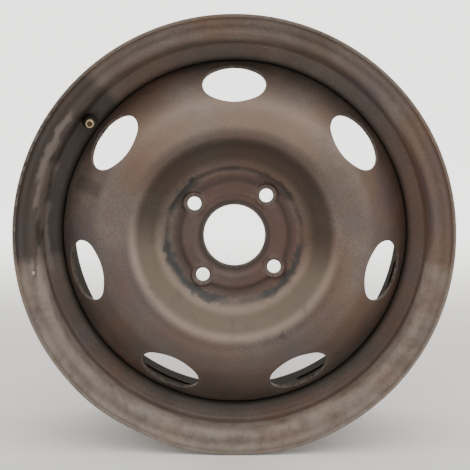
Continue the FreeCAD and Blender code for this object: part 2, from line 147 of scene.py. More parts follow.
# ---- what a user may change -------------------------------------------------------------------
class RimSizes(PropertyGroup):
    """Sizes of the rolled rim."""
    sheet: length("Sheet", "Thickness of the rolled strip", 2.8)
    edge: length("Sheared edge", "Rounding of the strip's sheared edges", 0.7)
    lip_radius: length("Lip radius", "Radius of the corner of the sheet's middle at the flange's top", 206.0)
    lip_reach: length("Lip reach", "How far the curled lip stands out from the flange's middle", 11.6)
    lip_drop: length("Lip drop", "How far the lip's edge falls below the flange's top", 0.8)
    lip_bend: length("Lip bend", "Bend radius at the top of the flange", 8.1)
    flange_bend: length("Flange bend", "Bend radius between the flange and the bead seat", 7.9)
    seat_radius: length("Seat radius", "Radius of the sheet's middle under the bead, at the flange", 188.7)
    seat_width: length("Seat width", "Width of the tapered bead seat", 20.6)
    seat_taper: angle("Seat taper", "Taper of the bead seat", 5)
    hump: length("Hump", "Height of the hump that keeps the bead on its seat", 1.6)
    well_radius: length("Well radius", "Radius of the sheet's middle at the drop-centre well", 171.4)
    dent: length("Dent", "Depth of the dent in the outboard lip", 1.0)
    runout: length("Run-out", "How far the lip's circle wanders after years of kerbs", 0.35)


class DiscSizes(PropertyGroup):
    """Sizes of the pressed disc."""
    sheet: length("Sheet", "Thickness of the pressed sheet", 3.5)
    edge: length("Sheared edge", "Rounding of punched edges", 0.8)
    pad_y: length("Pad depth", "Distance of the hub pad's middle from the rim's centre plane", 39.75)
    bore: length("Centre bore", "Radius of the centre bore", 30.05)
    ridge: length("Ridge", "Height of the stiffening ridge under the bolts", 3.0)
    pad_corner: length("Pad corner", "Radius of the corner between hub pad and bowl", 65.0)
    crown_radius: length("Crown radius", "Radius of the disc's most outboard ring", 103.0)
    crown_height: length("Crown height", "How far the crown stands out from the hub pad", 37.2)
    crown_bend: length("Crown bend", "Bend radius of the sheet's middle at the crown", 27.0)
    skirt_radius: length("Skirt radius", "Radius of the middle of the skirt in the rim's well", 168.2)


class OpeningSizes(PropertyGroup):
    """Sizes of the vents and of the bolt holes."""
    vent_length: length("Vent length", "Length of one vent round the wheel", 60.0)
    vent_width: length("Vent width", "Width of one vent along the disc's slope", 46.0)
    vent_end: length("Vent end", "Radius of the vent's ends", 20.0)
    vent_radius: length("Vent centre", "Distance of the vents' centres from the axis", 147.6)
    vent_tilt: angle("Vent tilt", "Tilt of the vent punch", 42)
    bolt_circle: length("Bolt circle", "Radius of the circle through the bolt holes", 50.0)
    bolt_hole: length("Bolt hole", "Radius of a bolt hole", 6.6)
    bolt_seat: length("Bolt seat", "Radius of a bolt's coned seat at its mouth", 8.8)
    boss_top: length("Boss top", "Radius of the flat ring round a coned seat", 10.6)
    boss_base: length("Boss base", "Radius of a boss where it runs into the pad", 13.0)
    boss_height: length("Boss height", "Height of a boss over the hub pad", 3.2)
    dish: length("Dish", "Radius of the hollow behind a bolt hole", 8.2)
    dish_depth: length("Dish depth", "Depth of the hollow behind a bolt hole", 1.6)


class ValveSizes(PropertyGroup):
    """Sizes of the snap-in valve, along its axis from the middle of the rim's sheet."""
    tilt: angle("Tilt", "Lean of the valve towards the wheel's axis", 12)
    seat_y: length("Seat depth", "Distance of the valve's seat from the rim's centre plane", 43.5833)
    seat_radius: length("Seat radius", "Distance of the valve's seat from the axis", 178.8489)
    hole: length("Hole", "Radius of the hole in the rim", 5.75)
    head: length("Head", "Radius of the rubber head inside the tyre", 7.9)
    head_length: length("Head length", "Length of the rubber head", 6.4)
    bulge: length("Bulge", "Radius of the rubber bulge outside the rim", 7.4)
    rubber_length: length("Rubber length", "Length of the rubber outside the rim", 16.5)
    tip: length("Rubber tip", "Radius of the rubber at its tip", 5.3)
    stem: length("Stem", "Radius over the thread of the brass stem", 3.85)
    stem_length: length("Stem length", "Length of the stem from the rim's sheet to its mouth", 27.0)
    pitch: length("Pitch", "Pitch of the valve cap's thread", 0.794)
    chamber: length("Chamber", "Radius of the bore that holds the valve core", 2.6)
    chamber_depth: length("Chamber depth", "Depth of the bore that holds the valve core", 11.0)


class Finishes(PropertyGroup):
    """Colours of the wheel's finishes."""
    paint: colour("Paint", "Aged paint where it is cleanest", "#81756b")
    paint_dark: colour("Worn paint", "Aged paint where it is thin and stained", "#5d5148")
    rust: colour("Rust", "Thin rust that blooms through the paint", "#715a4d")
    # Besides real dirt, this dark colour is painted shade along the seam, in the well, at the ridge's foot
    # and on faces turned down from the light.
    dust: colour("Road dust", "Dry road dust", "#a0968a")
    grime_and_shade: colour("Grime", "Oily brake dust in corners", "#332d29")
    # Besides baked brake dust, this dark colour is painted shade on the back of the disc and inside the
    # barrel.
    brake_dust_and_shade: colour("Brake dust", "Baked brake dust on the faces towards the brake", "#35332d")
    warm: colour("Warm paint", "Paint with rust showing through from below", "#7f5a46")
    mauve: colour("Mauve paint", "Paint with a cool, faded cast", "#635a60")
    hub_stain: colour("Hub stain", "Blue-grey stain of grease and brake dust round the hub", "#2f373b")
    steel: colour("Bare steel", "Steel where an edge has lost its paint", "#8f857b")
    weld: colour("Weld", "Rusted weld metal", "#4b352a")
    rubber: colour("Rubber", "Aged black rubber", "#1f1c1a")
    brass: colour("Brass", "Brass of the valve", "#ecd8ae")
    # Besides brown brass in the thread, this colour is painted shade on the valve core down in the stem's
    # mouth.
    dull_brass_and_shade: colour("Dull brass", "Brass gone brown in the thread", "#553f26")
    gasket: colour("Gasket", "Pale PTFE gasket", "#ded9ce")
    spring: colour("Spring", "Bright spring steel", "#b8b8b5")
    hub_rust: colour("Hub rust", "Red-brown rust of the hub pad", "#5d403a")
    # Painted light: this pale warm tone is laid on the lower bowl and the top of the crown, where the light
    # falls.
    tan: colour("Tan", "Dry, warm dust settled on the bowl", "#bba593")
    paper: colour("Studio paper", "Pale paper of the floor and the sweep behind", "#ebe9e6")


class StageSettings(PropertyGroup):
    """Camera, paper sweep and light."""
    camera_place: FloatVectorProperty(
        name="Camera", description="Place of the camera", default=(0.0067, -0.8896, 0.1), size=3,
        subtype="TRANSLATION")
    camera_pitch: angle("Pitch", "How far the camera looks down", 6.72)
    camera_yaw: angle("Yaw", "How far the camera looks to the right", -0.41)
    lens: FloatProperty(
        name="Lens", description="Focal length, for a 36 mm sensor", default=66.5, unit="CAMERA")
    key_power: FloatProperty(
        name="Key light", description="Power of the large light overhead", default=34.5, unit="POWER")
    left_power: FloatProperty(
        name="Left bank", description="Power of the soft light at the upper left", default=9.0, unit="POWER")
    right_power: FloatProperty(
        name="Right bank", description="Power of the soft light at the upper right", default=11.0,
        unit="POWER")
    paper_glow: FloatProperty(
        name="Paper glow", description="How strongly the sweep is lit from behind", default=2.2, min=0.0)
    sky: FloatProperty(name="Sky", description="Strength of the even light all round", default=0.2, min=0.0)
    seed: IntProperty(name="Seed", description="Seed of the lip's run-out", default=7)


# ---- mesh tools ---------------------------------------------------------------------------------
def place_object(name, data):
    """A new object of the scene for this mesh, light or camera."""
    item = bpy.data.objects.new(name, data)
    bpy.context.scene.collection.objects.link(item)
    return item


def left_of(direction):
    """The direction a quarter turn to the left, in (y, radius)."""
    return np.array([-direction[1], direction[0]])


def bent_line(corners, run_step, turn_step):
    """Points and side directions along a bent sheet's middle line of (y, radius, bend) corners."""
    points = [np.array(corner[:2]) for corner in corners]
    runs = [(b - a) / np.linalg.norm(b - a) for a, b in zip(points, points[1:])]
    places, sides = [], []
    here = points[0]
    for i in range(1, len(points)):
        into = runs[i - 1]
        bend = corners[i][2]
        turn = 0.0
        stop = points[i]
        if bend:
            onward = runs[i]
            turn = math.atan2(into[0] * onward[1] - into[1] * onward[0], float(into @ onward))
            back = bend * math.tan(abs(turn) / 2)
            stop = points[i] - into * back
        count = max(1, math.ceil(np.linalg.norm(stop - here) / run_step))
        places += [here + (stop - here) * j / count for j in range(count)]
        sides += [left_of(into)] * count
        here = stop
        if turn:
            hand = math.copysign(bend, turn)
            centre = stop + left_of(into) * hand
            steps = math.ceil(abs(turn) / turn_step)
            for j in range(steps):
                turned = turn * j / steps
                side = left_of(into) * math.cos(turned) - into * math.sin(turned)
                places.append(centre - side * hand)
                sides.append(side)
            here = points[i] + onward * back
    places.append(here)
    sides.append(left_of(runs[-1]))
    return np.array(places), np.array(sides)


def rounded_end(end, side, half, edge):
    """Points round one sheared end of a sheet, from its left face to its right face."""
    onward = np.array([side[1], -side[0]])
    near = [end - onward * edge + side * (half - edge)
            + side * edge * math.cos(a) + onward * edge * math.sin(a) for a in QUARTER_TURN]
    far = [end - onward * edge - side * (half - edge)
           - side * edge * math.cos(a) + onward * edge * math.sin(a) for a in QUARTER_TURN[::-1]]
    return near + far


class Sheet:
    """A bent sheet turned about the wheel's axis, looked up by length along its middle line."""

    def __init__(self, corners, thickness):
        self.places, self.sides = bent_line(corners, 0.25 * MM, math.radians(1))
        steps = np.linalg.norm(np.diff(self.places, axis=0), axis=1)
        self.lengths = np.concatenate([[0], np.cumsum(steps)])
        self.half = thickness / 2
        self.total = self.lengths[-1]

    def at(self, lengths, offset):
        """(y, radius) of points at these lengths, at an offset towards the outboard face."""
        pick = [np.interp(lengths, self.lengths, part) for part in (*self.places.T, *self.sides.T)]
        size = np.hypot(pick[2], pick[3])
        return np.stack([pick[0] + pick[2] / size * offset, pick[1] + pick[3] / size * offset], -1)

    def length_at(self, radius):
        """Length along the middle line where it first reaches a radius."""
        return float(np.interp(radius, self.places[:, 1], self.lengths))


def on_wheel(places, angles):
    """Points of (y, radius) places at angles round the wheel."""
    y, radius = places[..., 0], places[..., 1]
    return np.stack(np.broadcast_arrays(radius * np.sin(angles), y, radius * np.cos(angles)), -1)


class Skin:
    """Grids of points that are joined into one closed surface."""

    def __init__(self):
        self.points, self.faces, self.wear = [], [], []
        self.count = 0

    def add(self, grid, wear=0.0, round_rows=False, round_columns=False):
        """Adds a grid of points, whose rows or columns may close on themselves."""
        rows, columns = grid.shape[:2]
        index = np.arange(rows * columns).reshape(rows, columns) + self.count
        if round_rows:
            index = np.vstack([index, index[:1]])
        if round_columns:
            index = np.hstack([index, index[:, :1]])
        corners = (index[:-1, :-1], index[1:, :-1], index[1:, 1:], index[:-1, 1:])
        self.faces.append(np.stack(corners, -1).reshape(-1, 4))
        self.points.append(grid.reshape(-1, 3))
        self.wear.append(np.broadcast_to(wear, (rows, columns)).reshape(-1))
        self.count += rows * columns

    def build(self, name, material):
        """The finished object, its grids merged where they meet."""
        mesh = bpy.data.meshes.new(name)
        mesh.from_pydata(np.concatenate(self.points).tolist(), [], np.concatenate(self.faces).tolist())
        worn = mesh.attributes.new(WEAR, "FLOAT", "POINT")
        worn.data.foreach_set("value", np.concatenate(self.wear).astype(np.float32))
        shape = bmesh.new()
        shape.from_mesh(mesh)
        bmesh.ops.remove_doubles(shape, verts=shape.verts, dist=0.002 * MM)
        bmesh.ops.recalc_face_normals(shape, faces=shape.faces)
        open_edges = sum(1 for e in shape.edges if not e.is_manifold)
        shape.to_mesh(mesh)
        shape.free()
        if open_edges:
            raise RuntimeError(f"{name} has {open_edges} open edges")
        mesh.shade_smooth()
        mesh.materials.append(material)
        return place_object(name, mesh)


def turned_grid(outline, columns):
    """An outline of (y, radius) turned once round the wheel's axis, one row for each point."""
    angles = np.arange(columns) * 2 * math.pi / columns
    return on_wheel(np.array(outline)[:, None, :], angles[None, :])


def as_piece(piece, slot, *replaced):
    """Sets a new object on the wheel's body, in place of the CAD nodes that it stands for."""
    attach(piece, "wheel")
    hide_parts(*replaced)


# ---- materials ----------------------------------------------------------------------------------
def add_node(tree, kind, inputs=(), **settings):
    """Adds a node, sets it, and gives each input, named or in order, its value or its link."""
    node = tree.nodes.new(kind)
    for key, value in settings.items():
        setattr(node, key, value)
    for key, value in inputs.items() if isinstance(inputs, dict) else enumerate(inputs):
        if isinstance(value, bpy.types.NodeSocket):
            tree.links.new(value, node.inputs[key])
        else:
            node.inputs[key].default_value = value
    return node


def new_material(name):
    """An empty node material and its output."""
    material = bpy.data.materials.new(name)
    material.use_nodes = True
    material.node_tree.nodes.clear()
    return material, material.node_tree, material.node_tree.nodes.new("ShaderNodeOutputMaterial")


class Surface:
    """One finish in the making: its node tree, its patterns, and the colour laid so far."""

    def __init__(self, name, base):
        self.material, self.tree, self.output = new_material(name)
        self.base = base
        coordinates = add_node(self.tree, "ShaderNodeTexCoord")
        self.place, facing = coordinates.outputs["Object"], coordinates.outputs["Normal"]
        x, self.y, z = add_node(self.tree, "ShaderNodeSeparateXYZ", [self.place]).outputs
        self.angle = self.add("ShaderNodeMath", x, z, operation="ARCTAN2")
        across = self.add("ShaderNodeCombineXYZ", x, 0.0, z)
        self.radius = self.add("ShaderNodeVectorMath", across, give="Value", operation="LENGTH")
        away = self.add("ShaderNodeVectorMath", across, operation="NORMALIZE")
        self.outward = self.add("ShaderNodeVectorMath", facing, away, give="Value", operation="DOT_PRODUCT")
        self.inboard = self.add("ShaderNodeSeparateXYZ", facing, give="Y")
        self.edge = self.add(
            "ShaderNodeAttribute", give="Fac", attribute_name=WEAR, attribute_type="GEOMETRY")

    def add(self, kind, *inputs, give=0, **settings):
        """Adds a node to this finish and gives one of its outputs."""
        return add_node(self.tree, kind, inputs, **settings).outputs[give]

    def noise(self, size, detail=4.0, roughness=0.55, low=0.35, high=0.65, shift=0.0):
        """A cloud pattern of this size in metres, spread over 0 to 1."""
        moved = self.add("ShaderNodeVectorMath", self.place, (shift, shift, shift), operation="ADD")
        cloud = add_node(self.tree, "ShaderNodeTexNoise", {
            "Vector": moved, "Scale": 1 / size, "Detail": detail, "Roughness": roughness})
        return self.spread(cloud.outputs["Fac"], low, high)

    def spread(self, value, low, high):
        """A value spread smoothly from 0 at low to 1 at high, which may be the smaller."""
        return add_node(self.tree, "ShaderNodeMapRange", {
            "Value": value, "From Min": low, "From Max": high}, interpolation_type="SMOOTHSTEP").outputs[0]

    def blend(self, amount, first, second):
        """A number that goes from first to second with a mask."""
        return add_node(self.tree, "ShaderNodeMapRange", {
            "Value": amount, "To Min": first, "To Max": second}).outputs[0]

    def times(self, *factors):
        """The product of masks and amounts."""
        product = factors[0]
        for factor in factors[1:]:
            product = self.add("ShaderNodeMath", product, factor, operation="MULTIPLY")
        return product

    def most(self, *masks):
        """The largest of several masks."""
        best = masks[0]
        for mask in masks[1:]:
            best = self.add("ShaderNodeMath", best, mask, operation="MAXIMUM")
        return best

    def ragged_radius(self, size, depth):
        """The radius, pushed in and out by a cloud pattern, for marks with uneven edges."""
        push = self.blend(self.noise(size, shift=6.6), -depth, depth)
        return self.add("ShaderNodeMath", self.radius, push, operation="ADD")

    def near(self, offset, reach, softness):
        """A mask that is 1 within reach of zero offset and fades over the softness."""
        away = self.add("ShaderNodeMath", offset, operation="ABSOLUTE")
        return self.spread(away, reach + softness, reach)

    def ring(self, middle, half_width, softness, radius=None):
        """A mask, in millimetres, that is 1 on a ring round the wheel and fades at its sides."""
        offset = self.add("ShaderNodeMath", radius or self.radius, middle * MM, operation="SUBTRACT")
        return self.near(offset, half_width * MM, softness * MM)

    def sector(self, first, last, softness):
        """A mask that is 1 between two angles in degrees, clockwise from the top."""
        middle = math.radians((first + last) / 2)
        offset = self.add("ShaderNodeMath", self.angle, middle, operation="SUBTRACT")
        offset = self.add("ShaderNodeMath", offset, -math.pi, math.pi, operation="WRAP")
        return self.near(offset, math.radians((last - first) / 2), math.radians(softness))

    def cover(self, tint, *masks):
        """Lays a colour over the ones so far, where all of these masks and amounts meet."""
        self.base = add_node(self.tree, "ShaderNodeMix", {
            "Factor": self.times(*masks), "A": self.base, "B": tint}, data_type="RGBA").outputs["Result"]

    def finish(self, roughness, metallic, bump, bump_height, specular=0.5):
        """Closes the tree with a shader and a fine relief."""
        relief = add_node(self.tree, "ShaderNodeBump", {
            "Height": bump, "Distance": bump_height, "Strength": 1.0})
        shader = add_node(self.tree, "ShaderNodeBsdfPrincipled", {
            "Base Color": self.base, "Roughness": roughness, "Metallic": metallic,
            "Specular IOR Level": specular, "Normal": relief.outputs[0]})
        self.tree.links.new(shader.outputs[0], self.output.inputs[0])
        return self.material


def aged_paint(name, finishes):
    """Stoved black-brown paint gone thin: clouds a hand wide, rust blooms and a speckle that is drawn
    coarser than the real one, so that it shows."""
    paint = Surface(name, finishes.paint_dark)
    paint.cover(finishes.paint, paint.noise(60 * MM, low=0.25, high=0.75, shift=0.3))
    paint.cover(finishes.warm, paint.noise(85 * MM, detail=2.0, low=0.4, high=0.62, shift=12.0), 0.65)
    paint.cover(finishes.mauve, paint.noise(70 * MM, detail=2.0, low=0.5, high=0.7, shift=15.0), 0.65)
    blooms = paint.noise(9 * MM, detail=6.0, roughness=0.65, low=0.42, high=0.72, shift=1.1)
    paint.cover(finishes.rust, blooms, 0.5)
    speckle = paint.noise(2.2 * MM, detail=4.0, roughness=0.7, low=0.38, high=0.62, shift=2.3)
    paint.cover(finishes.paint_dark, speckle, 0.6)
    return paint


def baked_dust_and_shade(paint, finishes, mask, amount, roughness, worn):
    """Baked brake dust on a masked part, all matt, its dark colour also painted shade there; returns
    roughness, metallic and specular values.
    """
    paint.cover(finishes.brake_dust_and_shade, mask, amount)
    return (
        paint.blend(mask, roughness, 0.95),
        paint.blend(mask, paint.blend(worn, 0.1, 0.7), 0.0),
        paint.blend(mask, 0.5, 0.1))


def rim_finish(finishes):
    """Rolled steel in aged stoving paint: satin, with rust blooms, dry dust on the lower flange, a dark damp
    patch with a tan run on the left flange, baked brake dust inside the barrel that is also painted shade,
    and painted shade in the well and along the seam."""
    rim = aged_paint("Aged_Enamel_on_Rolled_Steel", finishes)
    front = rim.spread(rim.y, -50 * MM, -62 * MM)
    ragged = rim.ragged_radius(18 * MM, 2 * MM)
    dusty = rim.times(rim.sector(98, 264, 2), front)
    streaks = rim.noise(14 * MM, detail=5.0, roughness=0.6, low=0.2, high=0.7, shift=4.2)
    rim.cover(finishes.dust, dusty, streaks, 0.5)
    damp = rim.noise(20 * MM, detail=5.0, low=0.05, high=0.4, shift=13.0)
    rim.cover(finishes.grime_and_shade, rim.ring(190, 20, 4), rim.sector(266, 317, 4), damp, 0.72)
    run = rim.most(
        rim.times(rim.ring(184, 1.4, 2.6, ragged), rim.sector(260, 279, 3)),
        rim.times(rim.ring(187, 1.2, 2.4, ragged), rim.sector(277, 291, 3)),
        rim.times(rim.ring(191.5, 1.8, 2.8, ragged), rim.sector(289, 306, 4)))
    rim.cover(finishes.paint, run, 0.62)
    rim.cover(finishes.weld, rim.ring(191, 1.2, 1.4, ragged), rim.sector(259.5, 270, 1.5), 0.6)
    # Dark band along the seam on the lower side: partly dirt, partly painted shade in the deep crevice.
    rim.cover(finishes.grime_and_shade, rim.ring(171, 4, 5), rim.sector(140, 225, 15), 0.4)
    rim.cover(finishes.gasket, rim.ring(192.6, 0.6, 0.4), rim.sector(260.2, 260.8, 0.2), 0.7)
    # Painted shade in the drop-centre well: its wall is darkened in uneven patches.
    well = rim.spread(rim.y, -62 * MM, -48 * MM)
    wall = rim.times(well, rim.noise(22 * MM, low=0.15, high=0.5, shift=3.3), 0.15)
    rim.cover(finishes.grime_and_shade, wall)
    # Inside the barrel: baked brake dust, laid dark and matt, which is also painted shade there.
    barrel = rim.times(rim.spread(rim.outward, 0.1, -0.35), rim.spread(rim.y, -46 * MM, -38 * MM))
    worn = rim.times(rim.edge, rim.noise(5 * MM, low=0.35, high=0.6, shift=5.5))
    satin = rim.blend(rim.most(dusty, wall), 0.5, 0.62)
    roughness, metallic, specular = baked_dust_and_shade(rim, finishes, barrel, 0.9, satin, worn)
    # Painted shade: a faint dark line along the seam in the well.
    rim.cover(finishes.grime_and_shade, rim.ring(171, 3, 6), well, 0.08)
    rim.cover(finishes.steel, worn, 0.6)
    pits = rim.noise(2.2 * MM, detail=6.0, roughness=0.7, low=0.2, high=0.8, shift=9.0)
    return rim.finish(roughness, metallic, pits, 0.10 * MM, specular)


def disc_finish(finishes):
    """Pressed steel in aged stoving paint: satin, redder on the hub pad, with a blue-grey stain of grease
    round the hub and brake dust baked on the back that is also painted shade. Painted light: a pale warm
    tone on the lower bowl and the top of the crown. Painted shade: on the upper bowl, the lower crown and
    outer slope, at the ridge's foot and towards the seam."""
    disc = aged_paint("Aged_Enamel_on_Pressed_Steel", finishes)
    pad = disc.spread(disc.radius, 64 * MM, 58 * MM)
    disc.cover(finishes.hub_rust, pad, 0.5)
    disc.cover(finishes.grime_and_shade, pad, 0.2)
    # Painted light: a pale warm tone in patches on the lower bowl, which faces up, and, fainter, a painted
    # highlight on the top of the crown.
    bowl = disc.times(disc.ring(85, 8, 11), disc.sector(122, 255, 35), 0.9)
    crest = disc.times(disc.ring(120, 12, 16), disc.sector(-25, 25, 40), 0.25)
    patchy_light = disc.noise(16 * MM, detail=5.0, roughness=0.6, low=0.0, high=0.5, shift=11.2)
    disc.cover(finishes.tan, disc.most(bowl, crest), patchy_light)
    # Painted shade on the lower crown and on the upper bowl, which face down from the light.
    low_crest = disc.times(disc.ring(101, 3.5, 7), disc.sector(130, 235, 40))
    high_bowl = disc.times(disc.ring(95, 5, 9), disc.sector(-42, 42, 30))
    disc.cover(finishes.grime_and_shade, disc.most(disc.times(low_crest, 0.27), disc.times(high_bowl, 0.42)))
    disc.cover(finishes.grime_and_shade, disc.ring(30, 3.5, 3.5), 0.75)
    ragged = disc.ragged_radius(9 * MM, 2 * MM)
    stained = disc.most(disc.sector(105, 150, 14), disc.sector(195, 260, 14), disc.sector(295, 325, 12))
    damp = disc.noise(15 * MM, detail=4.0, roughness=0.5, low=0.25, high=0.55, shift=6.1)
    disc.cover(finishes.hub_stain, disc.ring(66.5, 0.8, 5, ragged), damp, stained, 0.8)
    # Darker in patches along the corner between the hub pad and the bowl.
    corner_patches = disc.noise(24 * MM, detail=3.0, low=0.25, high=0.7, shift=4.9)
    disc.cover(finishes.grime_and_shade, disc.ring(65.5, 0.8, 2.8), corner_patches, 0.75)
    oily = disc.most(disc.sector(300, 322, 9), disc.sector(26, 52, 9))
    disc.cover(finishes.grime_and_shade, disc.ring(64, 2.5, 4, ragged), oily, 0.65)
    # Painted shade on the lower outer slope, which faces down.
    disc.cover(finishes.grime_and_shade, disc.ring(136, 16, 18), disc.sector(140, 245, 35), 0.38)
    blot = disc.times(
        disc.ring(105, 2, 1.5, disc.ragged_radius(6 * MM, 3 * MM)), disc.sector(152.6, 155.2, 0.8))
    smear = disc.times(disc.ring(148, 11, 6), disc.sector(288, 291, 2.5))
    disc.cover(finishes.grime_and_shade, disc.most(blot, smear), 0.4)
    # Painted shade: a dark line at the foot of the ridge under the bolts.
    disc.cover(finishes.grime_and_shade, disc.ring(55, 1, 3), 0.35)
    # Painted shade towards the seam: a faint dark ring over the skirt's end, and wider uneven darkening over
    # the outer slope out to it.
    seam = disc.spread(disc.radius, 162 * MM, 167 * MM)
    disc.cover(finishes.grime_and_shade, seam, 0.08)
    halo_patches = disc.noise(26 * MM, detail=4.0, low=0.3, high=0.62, shift=8.4)
    halo = disc.times(disc.spread(disc.radius, 146 * MM, 166 * MM), halo_patches)
    disc.cover(finishes.grime_and_shade, halo, 0.3)
    # On the back and the inward faces: baked brake dust, dark and matt, which is also painted shade there.
    hidden = disc.most(disc.spread(disc.inboard, 0.1, 0.4), disc.spread(disc.outward, -0.5, -0.8))
    back = disc.times(hidden, disc.spread(disc.radius, 68 * MM, 80 * MM))
    worn = disc.times(disc.edge, disc.noise(4 * MM, low=0.32, high=0.58, shift=5.5))
    satin = disc.blend(disc.most(seam, halo, low_crest), 0.5, 0.66)
    roughness, metallic, specular = baked_dust_and_shade(disc, finishes, back, 0.8, satin, worn)
    disc.cover(finishes.steel, worn, 0.55)
    pits = disc.noise(2.6 * MM, detail=6.0, roughness=0.7, low=0.2, high=0.8, shift=9.0)
    return disc.finish(roughness, metallic, pits, 0.08 * MM, specular)


def weld_finish(finishes):
    """Rusted arc-weld metal: dark, matt and rough, with a bluish heat stain left in patches."""
    weld = Surface("Rusted_Arc_Weld_Metal", finishes.weld)
    weld.cover(finishes.hub_stain, weld.noise(6 * MM, low=0.4, high=0.7, shift=1.0))
    crust = weld.noise(1.5 * MM, detail=6.0, roughness=0.7, low=0.4, high=0.7, shift=2.0)
    weld.cover(finishes.rust, crust, 0.6)
    return weld.finish(weld.blend(crust, 0.55, 0.8), 0.3, crust, 0.15 * MM)


def rubber_finish(finishes):
    """Moulded black rubber, weathered: matt, greyed by ozone in small patches, with a fine relief of cracks.
    """
    rubber = Surface("Weathered_Moulded_Rubber", finishes.rubber)
    bloom = rubber.noise(3 * MM, detail=5.0, low=0.45, high=0.75, shift=1.5)
    rubber.cover(finishes.paint_dark, bloom, 0.35)
    cracks = rubber.noise(0.8 * MM, detail=4.0, roughness=0.7, low=0.3, high=0.7, shift=2.5)
    return rubber.finish(rubber.blend(bloom, 0.6, 0.85), 0.0, cracks, 0.04 * MM)


def brass_finish(finishes, name, shine, tarnish_and_shade):
    """Turned brass: bright where hands and caps rub it, brown in the thread's roots; the valve core's brass,
    down in the stem's mouth, is browned nearly all over as painted shade.
    """
    brass = Surface(name, finishes.brass)
    tarnish = brass.noise(1.6 * MM, detail=5.0, roughness=0.6, low=0.4, high=0.7, shift=3.5)
    dull = brass.most(brass.blend(tarnish, tarnish_and_shade, max(tarnish_and_shade, 0.6)), brass.edge)
    brass.cover(finishes.dull_brass_and_shade, dull)
    marks = brass.noise(0.5 * MM, detail=2.0, shift=4.5)
    return brass.finish(brass.blend(dull, shine, 0.6), 1.0, marks, 0.01 * MM)


def gasket_finish(finishes):
    """Skived PTFE: pale, waxy and slightly uneven."""
    gasket = Surface("Skived_PTFE", finishes.gasket)
    cloud = gasket.noise(0.7 * MM, detail=3.0, shift=0.7)
    gasket.cover(finishes.dust, cloud, 0.4)
    return gasket.finish(gasket.blend(cloud, 0.35, 0.5), 0.0, cloud, 0.01 * MM)


def spring_finish(finishes):
    """Drawn spring steel: bright, with fine lines and a little tarnish."""
    wire = Surface("Drawn_Spring_Steel", finishes.spring)
    tarnish = wire.noise(0.6 * MM, detail=4.0, low=0.45, high=0.75, shift=0.9)
    wire.cover(finishes.dull_brass_and_shade, tarnish, 0.5)
    return wire.finish(wire.blend(tarnish, 0.25, 0.5), 1.0, tarnish, 0.005 * MM)


# ---- shapes -------------------------------------------------------------------------------------
def smooth_low(a, b, softness):
    """The lower of two heights, rounded where they cross."""
    share = np.clip(0.5 + 0.5 * (b - a) / softness, 0, 1)
    return b + (a - b) * share - softness * share * (1 - share)


def rim_corners(sizes):
    """The rim's middle line, as (y, radius, bend) corners from the outboard lip to the inboard lip."""
    half_width = RIM_BOX[1].y
    flange_y = half_width - sizes.lip_reach
    seat_end = sizes.seat_radius - sizes.seat_width * math.tan(sizes.seat_taper)
    hump_y = flange_y - sizes.seat_width - 4 * MM
    ledge = seat_end - 0.6 * MM
    edge = [
        (flange_y + sizes.lip_reach, sizes.lip_radius - sizes.lip_drop, 0),
        (flange_y, sizes.lip_radius, sizes.lip_bend),
        (flange_y, sizes.seat_radius, sizes.flange_bend),
        (flange_y - sizes.seat_width, seat_end, 6 * MM),
        (hump_y, seat_end + sizes.hump, 6 * MM),
    ]
    wall_top = 7.8 * MM - hump_y
    wall_foot = wall_top + (ledge - sizes.well_radius) * math.tan(math.radians(12))
    well = [
        (wall_top, ledge, 6 * MM),
        (wall_foot, sizes.well_radius, 6 * MM),
        (30 * MM, sizes.well_radius, 9 * MM),
        (hump_y - 9.1 * MM, ledge, 6 * MM),
    ]
    return [(-y, radius, bend) for y, radius, bend in edge] + well + edge[::-1]


class WHEEL_OT_rim(Operator):
    """Rolls the rim, rounds its sheared lips and puts the dents of use in the outboard lip"""
    bl_idname = "wheel.rim"
    bl_label = "Rim"

    def execute(self, context):
        sizes = context.scene.wheel_rim
        places, sides = bent_line(rim_corners(sizes), 5 * MM, math.radians(12))
        half = sizes.sheet / 2
        first, last = places[0], places[-1]
        places, sides_in = places[1:-1], sides[1:-1]
        outline = list(places + sides_in * half)
        outline += rounded_end(last, sides[-1], half, sizes.edge)
        outline += list((places - sides_in * half)[::-1])
        outline += rounded_end(first, -sides[0], half, sizes.edge)
        outline = np.array(outline)
        sheared = np.zeros(len(outline))
        sheared[len(places):len(places) + END_POINTS] = 1.0
        sheared[-END_POINTS:] = 1.0
        grid = turned_grid(outline, RIM_COLUMNS)
        skin = Skin()
        skin.add(self.dented(grid, sizes, context.scene.wheel_stage.seed), sheared[:, None], True, True)
        piece = skin.build("rim_rolled_strip", rim_finish(context.scene.wheel_finishes))
        as_piece(piece, "rim_steel", "rim")
        return {"FINISHED"}

    def dented(self, grid, sizes, seed):
        """The rim with its outboard lip pushed in and out a little."""
        random = np.random.default_rng(seed)
        angles = np.arange(RIM_COLUMNS) * 2 * math.pi / RIM_COLUMNS
        wander = sum(
            random.normal() * np.cos(k * angles + random.uniform(0, 2 * math.pi)) / k for k in range(2, 7))
        push = wander / np.abs(wander).max() * sizes.runout
        for degrees, depth, spread in DENTS:
            push += sizes.dent * depth * np.exp(-((np.degrees(angles) - degrees) / spread) ** 2)
        share = np.clip((-grid[..., 1] - 74 * MM) / (12 * MM), 0, 1) ** 2
        outward = np.stack([np.sin(angles), 0 * angles, np.cos(angles)], -1)
        return grid + outward[None] * (share * push[None, :])[..., None]


